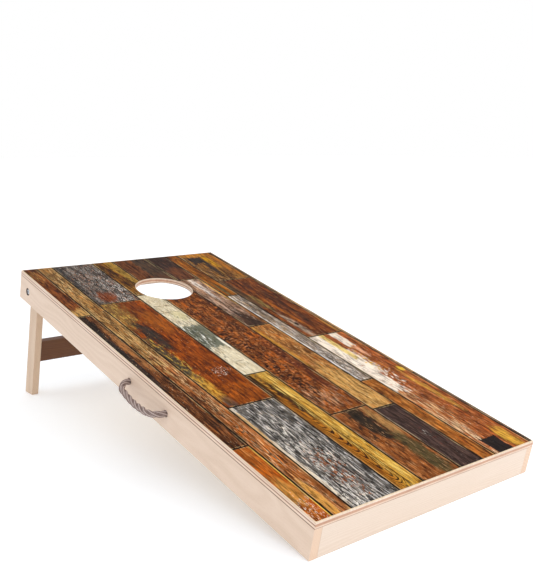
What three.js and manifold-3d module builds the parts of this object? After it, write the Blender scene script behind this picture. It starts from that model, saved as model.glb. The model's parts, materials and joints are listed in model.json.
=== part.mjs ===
// A regulation 2 x 4 ft cornhole board, standing on its folding legs.
//
// The board is drawn flat, in millimetres: X across it, Y up its length from the low front edge
// to the high rear edge, and Z up from the underside of its frame. One turned group then tips it
// back onto its legs. The origin ends up on the ground under the middle of the whole board.

import * as THREE from "three";
import { mergeVertices } from "three/addons/utils/BufferGeometryUtils.js";
import Module from "manifold-3d";

const wasm = await Module();
wasm.setup();

// The board as a whole
const boardLength = 1219.2;
const boardWidth = 609.6;
const boardDepth = 76.2;
const rearEdgeHeight = 350;
const gap = 0.3;

// The deck and its printed wrap
const deckThickness = 12.7;
const wrapThickness = 0.4;
const wrapMargin = 3;
const holeRadius = 76.2;
const holeFromRear = 228.6;
const wrapHoleMargin = 1.5;

// The frame under the deck
const railThickness = 18;
const braceHeight = 45;
const braceCentre = 670;
const cornerBlockSide = 48;
const cornerBlockHeight = 50;

// The legs, their crossbar and their stops
const legWidth = 43;
const legThickness = 18;
const legClearance = 1.8;
const pivotFromRear = 48;
const pivotFromTop = 44;
const crossbarHeight = 60;
const crossbarThickness = 18;
const crossbarTopBelowPivot = 154;
const stopHeight = 22;
const stopBottom = 3;
const stopInnerMargin = 3;

// M8 pivot bolts, washers and lock nuts
const boltRadius = 4;
const boltHoleRadius = 4.3;
const boltHeadRadius = 7;
const boltHeadHeight = 4.5;
const boltSocketAcross = 5;
const boltSocketDepth = 2.6;
const boltEndPastNut = 2.5;
const counterboreRadius = 10;
const counterboreDepth = 7;
const washerRadius = 10;
const spacerThickness = 1.2;
const washerThickness = 1.6;
const nutCornerRadius = 7.5;
const nutHeight = 7.8;

// Dowels and deck screws
const dowelRadius = 4;
const dowelHoleRadius = 4.3;
const dowelInEndGrain = 28;
const dowelInFaceGrain = 12;
const cornerDowelHeights = [18, 45];
const braceDowelHeight = 40;
const crossbarDowelInset = 15;
const screwLength = 32;
const screwRadius = 2;
const screwHoleRadius = 2.4;
const screwHeadRadius = 4;
const screwHeadHeight = 2.4;
const screwTipLength = 5;
const sideScrewPlaces = [60, 330, 600, 870, 1130];

// The rope handle on the left rail
const ropeRadius = 7;
const ropeHoleRadius = 7.6;
const ropeHolePlaces = [["front", 467], ["rear", 620]];
const ropeZ = 35;
const ropeAxisFromRail = 7.5;
const knotRadius = 16;
const knotLength = 28;
const ropeTailLength = 18;

// Worked out from the dimensions above
const tilt = Math.asin(rearEdgeHeight / Math.hypot(boardLength, boardDepth))
  - Math.atan2(boardDepth, boardLength);
const halfWidth = boardWidth / 2;
const deckTop = boardDepth - wrapThickness - gap;
const railHeight = deckTop - deckThickness - gap;
const railInner = halfWidth - railThickness;
const legOuter = railInner - legClearance;
const legInner = legOuter - legThickness;
const pivotY = boardLength - pivotFromRear;
const pivotZ = boardDepth - pivotFromTop;
const legFront = pivotY - legWidth / 2;
const legRear = pivotY + legWidth / 2;
const ropeMiddleY = (ropeHolePlaces[0][1] + ropeHolePlaces[1][1]) / 2;

// The legs' feet reach furthest to the rear and the deck's low edge furthest to the front.
const rearReach = legRear / Math.cos(tilt);
const frontReach = deckTop * Math.sin(tilt);
const originY = (rearReach - frontReach) / 2;

const looks = {
  sideRail: { color: 0xdec6ac, roughness: 0.6, metalness: 0 },
  endRail: { color: 0xf6e3cd, roughness: 0.6, metalness: 0 },
  plywood: { color: 0xe3cba9, roughness: 0.65, metalness: 0 },
  leg: { color: 0xd2b9a0, roughness: 0.6, metalness: 0 },
  innerWood: { color: 0xcbb088, roughness: 0.7, metalness: 0 },
  dowel: { color: 0xd8bf93, roughness: 0.7, metalness: 0 },
  wrap: { color: 0x8a4a22, roughness: 0.45, metalness: 0 },
  zinc: { color: 0xb9bcc0, roughness: 0.3, metalness: 1 },
  screw: { color: 0xa08a4e, roughness: 0.4, metalness: 1 },
  rope: { color: 0x84706a, roughness: 0.9, metalness: 0 },
};

const sides = [["left", -1], ["right", 1]];

// ---- solids -------------------------------------------------------------------------------

// The closed solid inside a geometry, with its shared corners welded.
function solidOf(geometry) {
  const bare = geometry.clone();
  bare.deleteAttribute("normal");
  bare.deleteAttribute("uv");
  const welded = mergeVertices(bare, 1e-4);
  const index = welded.index.array;
  const triangles = [];
  for (let i = 0; i < index.length; i += 3) {
    const [a, b, c] = index.slice(i, i + 3);
    if (a !== b && b !== c && c !== a) {
      triangles.push(a, b, c);
    }
  }
  const vertProperties = new Float32Array(welded.attributes.position.array);
  const triVerts = new Uint32Array(triangles);
  return new wasm.Manifold(new wasm.Mesh({ numProp: 3, vertProperties, triVerts }));
}

function geometryOf(solid) {
  const mesh = solid.getMesh();
  const geometry = new THREE.BufferGeometry();
  const positions = new THREE.BufferAttribute(new Float32Array(mesh.vertProperties), mesh.numProp);
  geometry.setAttribute("position", positions);
  geometry.setIndex(new THREE.BufferAttribute(new Uint32Array(mesh.triVerts), 1));
  geometry.computeVertexNormals();
  return geometry;
}

function cut(base, tools) {
  let solid = solidOf(base);
  for (const tool of tools) {
    solid = solid.subtract(solidOf(tool));
  }
  return geometryOf(solid);
}

function join(pieces) {
  let solid = solidOf(pieces[0]);
  for (const piece of pieces.slice(1)) {
    solid = solid.add(solidOf(piece));
  }
  return geometryOf(solid);
}

// ---- plain shapes -------------------------------------------------------------------------

// A rectangular block between two opposite corners.
function block([x0, y0, z0], [x1, y1, z1]) {
  const geometry = new THREE.BoxGeometry(Math.abs(x1 - x0), Math.abs(y1 - y0), Math.abs(z1 - z0));
  return geometry.translate((x0 + x1) / 2, (y0 + y1) / 2, (z0 + z1) / 2);
}

// A block on one side of the board, from one distance to another off its centre line.
function sideBlock(side, [near, far], [y0, y1], [z0, z1]) {
  return block([side * near, y0, z0], [side * far, y1, z1]);
}

// A round bar along X on one side of the board, from one distance to another off its centre line.
function crossBar(side, radius, [near, far], y, z, segments = 32) {
  const geometry = new THREE.CylinderGeometry(radius, radius, far - near, segments);
  return geometry.rotateZ(Math.PI / 2).translate(side * (near + far) / 2, y, z);
}

// A turned piece along X: each profile point is a radius and a distance off the centre line.
function crossTurning(side, profile, y, z, segments = 32) {
  const points = profile.map(([radius, distance]) => new THREE.Vector2(radius, distance));
  const geometry = new THREE.LatheGeometry(points, segments);
  return geometry.rotateZ(-side * Math.PI / 2).translate(0, y, z);
}

// A ring along X, such as a washer.
function crossRing(side, outerRadius, innerRadius, [near, far], y, z, segments = 32) {
  const ring = crossBar(side, outerRadius, [near, far], y, z, segments);
  return cut(ring, [crossBar(side, innerRadius, [near - 1, far + 1], y, z)]);
}

// A turned piece standing on Z: each profile point is a radius and a height.
function uprightTurning(profile, x, y, segments = 12) {
  const points = profile.map(([radius, height]) => new THREE.Vector2(radius, height));
  return new THREE.LatheGeometry(points, segments).rotateX(Math.PI / 2).translate(x, y, 0);
}

// A flat outline in X and Y, raised from z0 to z1.
function plate(shape, z0, z1, curveSegments = 12) {
  const options = { depth: z1 - z0, bevelEnabled: false, curveSegments };
  return new THREE.ExtrudeGeometry(shape, options).translate(0, 0, z0);
}

// The deck's outline with its round hole, drawn in from the board's edges by a margin.
function deckOutline(margin, roundRadius) {
  const shape = new THREE.Shape();
  shape.moveTo(-halfWidth + margin, margin);
  shape.lineTo(halfWidth - margin, margin);
  shape.lineTo(halfWidth - margin, boardLength - margin);
  shape.lineTo(-halfWidth + margin, boardLength - margin);
  shape.closePath();
  const hole = new THREE.Path();
  hole.absarc(0, boardLength - holeFromRear, roundRadius, 0, 2 * Math.PI, true);
  shape.holes.push(hole);
  return shape;
}

// ---- fasteners ----------------------------------------------------------------------------

function dowelHole(side, joint, y, z) {
  const reach = [joint - dowelInEndGrain - gap, joint + dowelInFaceGrain + gap];
  return crossBar(side, dowelHoleRadius, reach, y, z, 16);
}

function dowel(side, joint, y, z) {
  const reach = [joint - dowelInEndGrain, joint + dowelInFaceGrain];
  return crossBar(side, dowelRadius, reach, y, z, 16);
}

function cornerDowelSpots() {
  const ends = [["front", railThickness / 2], ["rear", boardLength - railThickness / 2]];
  const spots = [];
  for (const [end, y] of ends) {
    cornerDowelHeights.forEach((z, i) => spots.push({ end, y, z, number: i + 1 }));
  }
  return spots;
}

function crossbarDowelSpots() {
  const y = legRear - crossbarThickness / 2;
  const top = pivotZ - crossbarTopBelowPivot - crossbarDowelInset;
  const bottom = pivotZ - crossbarTopBelowPivot - crossbarHeight + crossbarDowelInset;
  return [{ y, z: top, number: 1 }, { y, z: bottom, number: 2 }];
}

function screwSpots() {
  const spots = [];
  for (const [, side] of sides) {
    for (const y of sideScrewPlaces) {
      spots.push([side * (halfWidth - railThickness / 2), y]);
    }
  }
  spots.push([0, railThickness / 2], [0, boardLength - railThickness / 2]);
  return spots;
}

// A countersunk screw, its head a little under the deck's surface.
function deckScrew([x, y]) {
  const top = deckTop - gap;
  const tip = top - screwLength;
  const profile = [
    [0, tip],
    [screwRadius, tip + screwTipLength],
    [screwRadius, top - screwHeadHeight],
    [screwHeadRadius, top],
    [0, top],
  ];
  return geometryOf(solidOf(uprightTurning(profile, x, y)));
}

function deckScrewHole([x, y]) {
  const slack = screwHoleRadius - screwRadius;
  const tip = deckTop - gap - screwLength - 1;
  const profile = [
    [0, tip],
    [screwHoleRadius, tip + screwTipLength],
    [screwHoleRadius, deckTop - gap - screwHeadHeight - slack],
    [screwHeadRadius + slack, deckTop - slack / 2],
    [screwHeadRadius + slack, deckTop + 1],
    [0, deckTop + 1],
  ];
  return uprightTurning(profile, x, y);
}

// ---- deck ---------------------------------------------------------------------------------

function makeDeck(parent) {
  const panel = plate(deckOutline(0, holeRadius), deckTop - deckThickness, deckTop, 36);
  addPiece(parent, "deck_panel", cut(panel, screwSpots().map(deckScrewHole)), looks.plywood);
  const wrapOutline = deckOutline(wrapMargin, holeRadius + wrapHoleMargin);
  const wrap = plate(wrapOutline, boardDepth - wrapThickness, boardDepth, 36);
  addPiece(parent, "deck_wrap", geometryOf(solidOf(wrap)), looks.wrap);
}

// ---- frame --------------------------------------------------------------------------------

function makeSideRail(parent, name, side) {
  const cuts = screwSpots().filter(([x]) => x * side > 0).map(deckScrewHole);
  cuts.push(crossBar(side, boltHoleRadius, [railInner - 1, halfWidth + 1], pivotY, pivotZ));
  const counterbore = [halfWidth - counterboreDepth, halfWidth + 1];
  cuts.push(crossBar(side, counterboreRadius, counterbore, pivotY, pivotZ));
  cornerDowelSpots().forEach(({ y, z }) => cuts.push(dowelHole(side, railInner, y, z)));
  cuts.push(dowelHole(side, railInner, braceCentre, braceDowelHeight));
  if (name === "left") {
    for (const [, y] of ropeHolePlaces) {
      cuts.push(crossBar(side, ropeHoleRadius, [railInner - 1, halfWidth + 1], y, ropeZ));
    }
  }
  const blank = sideBlock(side, [railInner, halfWidth], [0, boardLength], [0, railHeight]);
  addPiece(parent, `side_rail_${name}`, cut(blank, cuts), looks.sideRail);
}

function makeEndRail(parent, end, y0) {
  const reach = railInner - gap;
  const blank = block([-reach, y0, 0], [reach, y0 + railThickness, railHeight]);
  const cuts = screwSpots().filter(([x]) => x === 0).map(deckScrewHole);
  for (const [, side] of sides) {
    const spots = cornerDowelSpots().filter((spot) => spot.end === end);
    spots.forEach(({ y, z }) => cuts.push(dowelHole(side, railInner, y, z)));
  }
  addPiece(parent, `${end}_rail`, cut(blank, cuts), looks.endRail);
}

function makeBrace(parent) {
  const reach = railInner - gap;
  const front = braceCentre - railThickness / 2;
  const top = railHeight;
  const blank = block([-reach, front, top - braceHeight], [reach, front + railThickness, top]);
  const cuts = sides.map(([, side]) => dowelHole(side, railInner, braceCentre, braceDowelHeight));
  addPiece(parent, "centre_brace", cut(blank, cuts), looks.innerWood);
}

// A triangular block glued into each front corner.
function makeCornerBlock(parent, name, side) {
  const corner = railInner - gap;
  const front = railThickness + gap;
  const shape = new THREE.Shape();
  shape.moveTo(side * corner, front);
  shape.lineTo(side * corner, front + cornerBlockSide);
  shape.lineTo(side * (corner - cornerBlockSide), front);
  shape.closePath();
  const solid = plate(shape, railHeight - cornerBlockHeight, railHeight);
  addPiece(parent, `corner_block_${name}`, geometryOf(solidOf(solid)), looks.innerWood);
}

// The block on the rear rail that a leg comes to rest against when it is opened.
function makeLegStop(parent, name, side) {
  const across = [legInner - stopInnerMargin, railInner - gap];
  const along = [legRear + gap, boardLength - railThickness - gap];
  const solid = sideBlock(side, across, along, [stopBottom, stopBottom + stopHeight]);
  addPiece(parent, `leg_stop_${name}`, solid, looks.innerWood);
}

function makeFrameDowels(parent, name, side) {
  for (const { end, y, z, number } of cornerDowelSpots()) {
    const piece = dowel(side, railInner, y, z);
    addPiece(parent, `corner_dowel_${end}_${name}_${number}`, piece, looks.dowel);
  }
  const piece = dowel(side, railInner, braceCentre, braceDowelHeight);
  addPiece(parent, `brace_dowel_${name}`, piece, looks.dowel);
}

function makeFrame(parent) {
  for (const [name, side] of sides) {
    makeSideRail(parent, name, side);
    makeCornerBlock(parent, name, side);
    makeLegStop(parent, name, side);
    makeFrameDowels(parent, name, side);
  }
  makeEndRail(parent, "front", 0);
  makeEndRail(parent, "rear", boardLength - railThickness);
  makeBrace(parent);
  screwSpots().forEach((spot, i) => {
    const number = String(i + 1).padStart(2, "0");
    addPiece(parent, `deck_screw_${number}`, deckScrew(spot), looks.screw);
  });
}

// ---- pivots -------------------------------------------------------------------------------

// A socket-head bolt from the counterbore in the side rail, through the leg, to its lock nut.
function makePivot(parent, name, side) {
  const headUnder = halfWidth - counterboreDepth + gap;
  const headTop = headUnder + boltHeadHeight;
  const washerFar = legInner - gap;
  const washerNear = washerFar - washerThickness;
  const nutFar = washerNear - gap;
  const nutNear = nutFar - nutHeight;
  const chamfer = 0.8;
  const profile = [
    [0, nutNear - boltEndPastNut],
    [boltRadius - chamfer, nutNear - boltEndPastNut],
    [boltRadius, nutNear - boltEndPastNut + chamfer],
    [boltRadius, headUnder],
    [boltHeadRadius, headUnder],
    [boltHeadRadius, headTop - chamfer],
    [boltHeadRadius - chamfer, headTop],
    [0, headTop],
  ];
  const blank = crossTurning(side, profile, pivotY, pivotZ);
  const socketReach = [headTop - boltSocketDepth, headTop + 1];
  const socketRadius = boltSocketAcross / Math.sqrt(3);
  const socket = crossBar(side, socketRadius, socketReach, pivotY, pivotZ, 6);
  addPiece(parent, `pivot_bolt_${name}`, cut(blank, [socket]), looks.zinc);

  const spacerMiddle = railInner - legClearance / 2;
  const spacerReach = [spacerMiddle - spacerThickness / 2, spacerMiddle + spacerThickness / 2];
  const spacer = crossRing(side, washerRadius, boltHoleRadius, spacerReach, pivotY, pivotZ);
  addPiece(parent, `spacer_washer_${name}`, spacer, looks.zinc);

  const washerReach = [washerNear, washerFar];
  const washer = crossRing(side, washerRadius, boltHoleRadius, washerReach, pivotY, pivotZ);
  addPiece(parent, `nut_washer_${name}`, washer, looks.zinc);

  const nut = crossRing(side, nutCornerRadius, boltHoleRadius, [nutNear, nutFar], pivotY, pivotZ, 6);
  addPiece(parent, `lock_nut_${name}`, nut, looks.zinc);
}

// ---- legs ---------------------------------------------------------------------------------

// How far below the frame's underside the ground is, at a place along the board.
function groundZ(y) {
  return -y * Math.tan(tilt);
}

// A leg with a round top about its pivot and a foot cut to lie flat on the ground.
function makeLeg(parent, name, side) {
  const shape = new THREE.Shape();
  shape.moveTo(legFront, groundZ(legFront));
  shape.lineTo(legRear, groundZ(legRear));
  shape.lineTo(legRear, pivotZ);
  shape.absarc(pivotY, pivotZ, legWidth / 2, 0, Math.PI, false);
  shape.closePath();
  const options = { depth: legThickness, bevelEnabled: false, curveSegments: 24 };
  const blank = new THREE.ExtrudeGeometry(shape, options);
  const lengthwise = new THREE.Vector3(0, 1, 0);
  const upwards = new THREE.Vector3(0, 0, 1);
  const sideways = new THREE.Vector3(1, 0, 0);
  blank.applyMatrix4(new THREE.Matrix4().makeBasis(lengthwise, upwards, sideways));
  blank.translate(side > 0 ? legInner : -legOuter, 0, 0);
  const cuts = crossbarDowelSpots().map(({ y, z }) => dowelHole(side, legInner, y, z));
  cuts.push(crossBar(side, boltHoleRadius, [legInner - 1, legOuter + 1], pivotY, pivotZ));
  addPiece(parent, `leg_${name}`, cut(blank, cuts), looks.leg);
}

function makeCrossbar(parent) {
  const reach = legInner - gap;
  const top = pivotZ - crossbarTopBelowPivot;
  const front = legRear - crossbarThickness;
  const blank = block([-reach, front, top - crossbarHeight], [reach, legRear, top]);
  const cuts = [];
  for (const [, side] of sides) {
    crossbarDowelSpots().forEach(({ y, z }) => cuts.push(dowelHole(side, legInner, y, z)));
  }
  addPiece(parent, "leg_crossbar", cut(blank, cuts), looks.leg);
}

function makeLegs(parent) {
  makeCrossbar(parent);
  for (const [name, side] of sides) {
    makeLeg(parent, name, side);
    for (const { y, z, number } of crossbarDowelSpots()) {
      const piece = dowel(side, legInner, y, z);
      addPiece(parent, `crossbar_dowel_${name}_${number}`, piece, looks.dowel);
    }
  }
}

// ---- rope handle --------------------------------------------------------------------------

// Half of the rope's route outside the rail, from the rear hole to the middle: how far it stands
// out from the line through the two holes' mouths, how far it is from the handle's middle, and
// how far it hangs below the holes.
const ropeHalfRoute = [
  [0, 75.3, 0.2],
  [7.5, 72.2, 0.7],
  [13.7, 67.5, 1.4],
  [18.5, 61.3, 2.4],
  [21.5, 54, 3.4],
  [22.5, 46.3, 4.6],
  [22.7, 31, 6.6],
  [22.8, 15.5, 8.3],
  [22.8, 0, 9],
];

function makeRopeHandle(parent) {
  const otherHalf = ropeHalfRoute.slice(0, -1).reverse()
    .map(([out, along, drop]) => [out, -along, drop]);
  const axisX = -halfWidth - ropeAxisFromRail;
  const points = ropeHalfRoute.concat(otherHalf).map(([out, along, drop]) => {
    return new THREE.Vector3(axisX - out, ropeMiddleY + along, ropeZ - drop);
  });
  const route = new THREE.CatmullRomCurve3(points, false, "centripetal");
  const section = new THREE.Shape();
  section.absarc(0, 0, ropeRadius, 0, 2 * Math.PI, false);
  const options = { steps: 26, extrudePath: route, curveSegments: 6 };
  const tube = new THREE.ExtrudeGeometry(section, options);
  const ends = [points[0], points[points.length - 1]].map((end) => {
    return new THREE.SphereGeometry(ropeRadius, 12, 8).translate(end.x, end.y, end.z);
  });
  addPiece(parent, "rope_handle", join([tube, ...ends]), looks.rope);
}

// The rope's end: straight through the rail, then knotted behind it, with a short tail.
function makeRopeKnot(parent, name, y) {
  const mouth = halfWidth - gap;
  const knotFar = railInner - gap;
  const knotMiddle = knotFar - knotLength / 2;
  const tailFar = knotFar - knotLength;
  const tailNear = tailFar - ropeTailLength;
  const profile = [
    [0, tailNear],
    [ropeRadius - 1, tailNear],
    [ropeRadius, tailNear + 1],
    [ropeRadius, tailFar],
    [knotRadius - 3, tailFar + 4],
    [knotRadius, knotMiddle],
    [knotRadius - 3, knotFar - 4],
    [ropeRadius + 2, knotFar],
    [ropeRadius, knotFar],
    [ropeRadius, mouth],
    [0, mouth],
  ];
  const solid = geometryOf(solidOf(crossTurning(-1, profile, y, ropeZ, 20)));
  addPiece(parent, `rope_knot_${name}`, solid, looks.rope);
}

// ---- assembly -----------------------------------------------------------------------------

function addPiece(parent, name, geometry, look) {
  const mesh = new THREE.Mesh(geometry, new THREE.MeshStandardMaterial(look));
  mesh.name = name;
  parent.add(mesh);
}

const board = new THREE.Group();
board.rotation.x = tilt;
board.position.y = -originY;

makeDeck(board);
makeFrame(board);
sides.forEach(([name, side]) => makePivot(board, name, side));
makeLegs(board);
ropeHolePlaces.forEach(([name, y]) => makeRopeKnot(board, name, y));
makeRopeHandle(board);

const group = new THREE.Group();
group.add(board);
export default group;
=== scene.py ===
import json
import math

import bmesh
import bpy
import numpy as np
from mathutils import Matrix, Vector


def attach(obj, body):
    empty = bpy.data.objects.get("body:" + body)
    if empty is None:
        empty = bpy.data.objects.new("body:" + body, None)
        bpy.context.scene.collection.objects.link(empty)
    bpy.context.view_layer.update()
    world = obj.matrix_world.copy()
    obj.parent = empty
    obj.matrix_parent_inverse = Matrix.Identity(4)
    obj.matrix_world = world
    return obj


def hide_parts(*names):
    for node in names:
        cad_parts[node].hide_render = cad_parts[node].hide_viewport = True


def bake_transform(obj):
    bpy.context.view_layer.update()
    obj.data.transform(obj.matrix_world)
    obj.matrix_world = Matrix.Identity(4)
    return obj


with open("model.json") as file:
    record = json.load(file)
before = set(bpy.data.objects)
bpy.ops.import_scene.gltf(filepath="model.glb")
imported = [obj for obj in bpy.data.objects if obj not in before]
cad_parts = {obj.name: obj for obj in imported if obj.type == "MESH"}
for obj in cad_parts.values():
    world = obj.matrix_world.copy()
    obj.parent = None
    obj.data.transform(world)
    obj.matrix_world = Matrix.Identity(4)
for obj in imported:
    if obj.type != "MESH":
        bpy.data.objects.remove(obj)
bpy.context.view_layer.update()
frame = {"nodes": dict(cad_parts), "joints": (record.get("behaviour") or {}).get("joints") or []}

# ---- the board's own space ----
# Metres. X runs across the board, Y up its length from the low front edge, and Z up from the
# underside of its frame. BOARD turns a point in that space into one in the row frame.

LENGTH = 1.2192
WIDTH = 0.6096
TOP = 0.0762
WRAP_THICKNESS = 0.0004
DECK_TOP = 0.0755
DECK_UNDER = 0.0628
HOLE_RADIUS = 0.0762
HOLE_Y = LENGTH - 0.2286
PIVOT = Vector((0, LENGTH - 0.048, TOP - 0.044))
AXES = {"X": (1, 0, 0), "Y": (0, 1, 0), "Z": (0, 0, 1)}

joints = {joint["name"]: joint for joint in frame["joints"]}
up_the_board = Vector(joints["handle_swing"]["axis"]).normalized()
TILT = math.atan2(up_the_board.z, up_the_board.y)
TURN = Matrix.Rotation(TILT, 4, "X")
ORIGIN = Vector(joints["leg_fold"]["pos_m"]) - TURN @ PIVOT
BOARD = Matrix.Translation(ORIGIN) @ TURN


# ---- camera ----

EYE = Vector((-1.1737, -1.5935, 0.6912))
LOOK_AZIMUTH = math.radians(-39.693)
LOOK_DOWN = math.radians(7.918)
ROLL = math.radians(0.256)
SENSOR_WIDTH = 36
LENS = 53.78
SHIFT = (-0.0383, -0.0399)


def make_camera():
    data = bpy.data.cameras.new("camera")
    data.sensor_width = SENSOR_WIDTH
    data.lens = LENS
    data.shift_x, data.shift_y = SHIFT
    camera = bpy.data.objects.new("camera", data)
    bpy.context.scene.collection.objects.link(camera)
    pitch = Matrix.Rotation(math.pi / 2 - LOOK_DOWN, 4, "X")
    heading = Matrix.Rotation(LOOK_AZIMUTH, 4, "Z")
    roll = Matrix.Rotation(ROLL, 4, "Z")
    camera.matrix_world = Matrix.Translation(EYE) @ heading @ pitch @ roll
    bpy.context.scene.camera = camera


make_camera()


# ---- materials: short calls for shader nodes ----

def srgb(code):
    """A colour of six hexadecimal digits, as the linear values that a shader takes."""
    channels = [int(code[i:i + 2], 16) / 255 for i in (0, 2, 4)]
    linear = [c / 12.92 if c <= 0.04045 else ((c + 0.055) / 1.055) ** 2.4 for c in channels]
    return (*linear, 1.0)


def evenly(colours, first=0.3, last=0.7):
    gap = (last - first) / max(len(colours) - 1, 1)
    return [(first + gap * i, colour) for i, colour in enumerate(colours)]


class Look:
    """A procedural material, with one short method for each kind of node it is built from."""

    def __init__(self, name, roughness=0.5):
        self.material = bpy.data.materials.new(name)
        self.material.use_nodes = True
        self.tree = self.material.node_tree
        self.tree.nodes.clear()
        self.surface = self.add("ShaderNodeBsdfPrincipled", {"Roughness": roughness})
        self.add("ShaderNodeOutputMaterial", {0: self.surface.outputs[0]})

    def add(self, kind, inputs, **settings):
        """A node with its settings, and with a value or a link on each input socket named."""
        node = self.tree.nodes.new(kind)
        for key, value in settings.items():
            setattr(node, key, value)
        for key, value in inputs.items():
            self.feed(node.inputs[key], value)
        return node

    def feed(self, socket, value):
        if isinstance(value, bpy.types.NodeSocket):
            self.tree.links.new(value, socket)
        else:
            socket.default_value = value

    def set(self, name, value):
        self.feed(self.surface.inputs[name], value)

    def math(self, operation, *values):
        return self.add("ShaderNodeMath", dict(enumerate(values)), operation=operation).outputs[0]

    def plus(self, a, b):
        return self.math("ADD", a, b)

    def minus(self, a, b):
        return self.math("SUBTRACT", a, b)

    def times(self, a, b, plus=0.0):
        return self.math("MULTIPLY_ADD", a, b, plus)

    def vector(self, operation, *values):
        node = self.add("ShaderNodeVectorMath", dict(enumerate(values)), operation=operation)
        scalar = operation in ("LENGTH", "DOT_PRODUCT")
        return node.outputs["Value" if scalar else "Vector"]

    def scaled(self, where, factors, offset=(0, 0, 0)):
        return self.vector("MULTIPLY_ADD", where, factors, offset)

    def split(self, where):
        return self.add("ShaderNodeSeparateXYZ", {0: where}).outputs

    def join(self, x, y, z=0.0):
        return self.add("ShaderNodeCombineXYZ", {0: x, 1: y, 2: z}).outputs[0]

    def noise(self, where, detail=3.0, roughness=0.55):
        inputs = {"Vector": where, "Scale": 1.0, "Detail": detail, "Roughness": roughness}
        return self.add("ShaderNodeTexNoise", inputs).outputs["Fac"]

    def grain(self, where, scale, seed, detail=3.0, roughness=0.55):
        """Noise over the print, with its scale across and along, and a seed as its depth."""
        return self.noise(self.scaled(where, (*scale, 0), (0, 0, seed)), detail, roughness)

    def step(self, value, low, high, to=(0.0, 1.0)):
        inputs = {"Value": value, "From Min": low, "From Max": high, "To Min": to[0],
                  "To Max": to[1]}
        node = self.add("ShaderNodeMapRange", inputs, interpolation_type="SMOOTHSTEP")
        return node.outputs["Result"]

    def ramp(self, value, colours):
        """A blend through colours: plain ones evenly spaced, or pairs (position, colour)."""
        node = self.add("ShaderNodeValToRGB", {0: value})
        elements = node.color_ramp.elements
        stops = colours if isinstance(colours[0], tuple) else evenly(colours)
        while len(elements) < len(stops):
            elements.new(0.5)
        for element, (position, colour) in zip(elements, stops):
            element.position = position
            element.color = srgb(colour)
        return node.outputs["Color"]

    def mix(self, share, under, over, kind="MIX"):
        """Two colours; a node of this kind has them on its sockets 6 and 7, and output 2."""
        inputs = {0: share, 6: under, 7: over}
        return self.add("ShaderNodeMix", inputs, data_type="RGBA", blend_type=kind).outputs[2]

    def tinted(self, share, under, code, kind="MIX"):
        return self.mix(share, under, srgb(code), kind)

    def bump(self, height, distance, strength=1.0):
        inputs = {"Strength": strength, "Distance": distance, "Height": height}
        self.set("Normal", self.add("ShaderNodeBump", inputs).outputs[0])

    def place(self, kind):
        return self.add("ShaderNodeTexCoord", {}).outputs[kind]

    def board_space(self):
        """Where a point is in the board's own space, in metres."""
        inputs = {"Vector": self.place("Object"), "Location": ORIGIN, "Rotation": (TILT, 0, 0)}
        return self.add("ShaderNodeMapping", inputs, vector_type="TEXTURE").outputs[0]

    def facing(self, axis):
        """How squarely the surface faces along one of the board's axes, from 0 to 1."""
        direction = TURN.to_3x3() @ Vector(AXES[axis])
        along = self.vector("DOT_PRODUCT", self.place("Normal"), direction)
        return self.math("ABSOLUTE", along)


def object_from(bm, name, materials, smooth=False):
    """An object in the row frame from a mesh in the board's own space."""
    bm.transform(BOARD)
    bmesh.ops.recalc_face_normals(bm, faces=bm.faces)
    mesh = bpy.data.meshes.new(name)
    bm.to_mesh(mesh)
    bm.free()
    for material in materials:
        mesh.materials.append(material)
    if smooth:
        mesh.shade_smooth()
    piece = bpy.data.objects.new(name, mesh)
    bpy.context.scene.collection.objects.link(piece)
    return piece


# ---- the rope handle: one three-strand rope with an overhand knot behind each hole ----
# Its route is the one in part.mjs. Half of it is written, from the rear: how far out from the
# axis that it swings on, how far along from its middle, and how far down.

ROPE_DIAMETER = 0.014
ROPE_Z = 0.035
ROPE_HOLES = {"front": 0.467, "rear": 0.620}
ROPE_MIDDLE_Y = sum(ROPE_HOLES.values()) / 2
ROPE_MOUTH_X = -0.3045
ROPE_AXIS_X = -0.3123
ROPE_HALF_ROUTE = [
    (0, 0.0753, 0.0002), (0.0075, 0.0722, 0.0007), (0.0137, 0.0675, 0.0014),
    (0.0185, 0.0613, 0.0024), (0.0215, 0.0540, 0.0034), (0.0225, 0.0463, 0.0046),
    (0.0227, 0.0310, 0.0066), (0.0228, 0.0155, 0.0083), (0.0228, 0, 0.0090),
]
RAIL_INSIDE_X = -0.2868
TAIL_LENGTH = 0.046
LAY_LENGTH = 0.056
STRANDS = 3
STRAND_RADIUS = 0.0039
STRAND_OFFSET = 0.0033
STRAND_SIDES = 12
ROPE_STEP = 0.0016
ROPE_TONES_AND_YARN_SHADE = ("6b5752", "917d76", "c0b0aa")

# The knot is a loose overhand curve of points, tightened in many small moves: its ends are
# pulled apart, its segments keep their length, and its passes push each other away.
KNOT_X = -0.2573
KNOT_REACH = 0.028
KNOT_PLAY = 0.0002
KNOT_POINTS = 72
KNOT_SEGMENT = 0.0052
KNOT_ROUNDS = 900
KNOT_SWEEPS = 8
LOOSE_HALF_SPAN = 2.25
PULL = 0.0004
CENTRING = 0.1
PUSH = 0.3
STIFFNESS = 0.04


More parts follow.
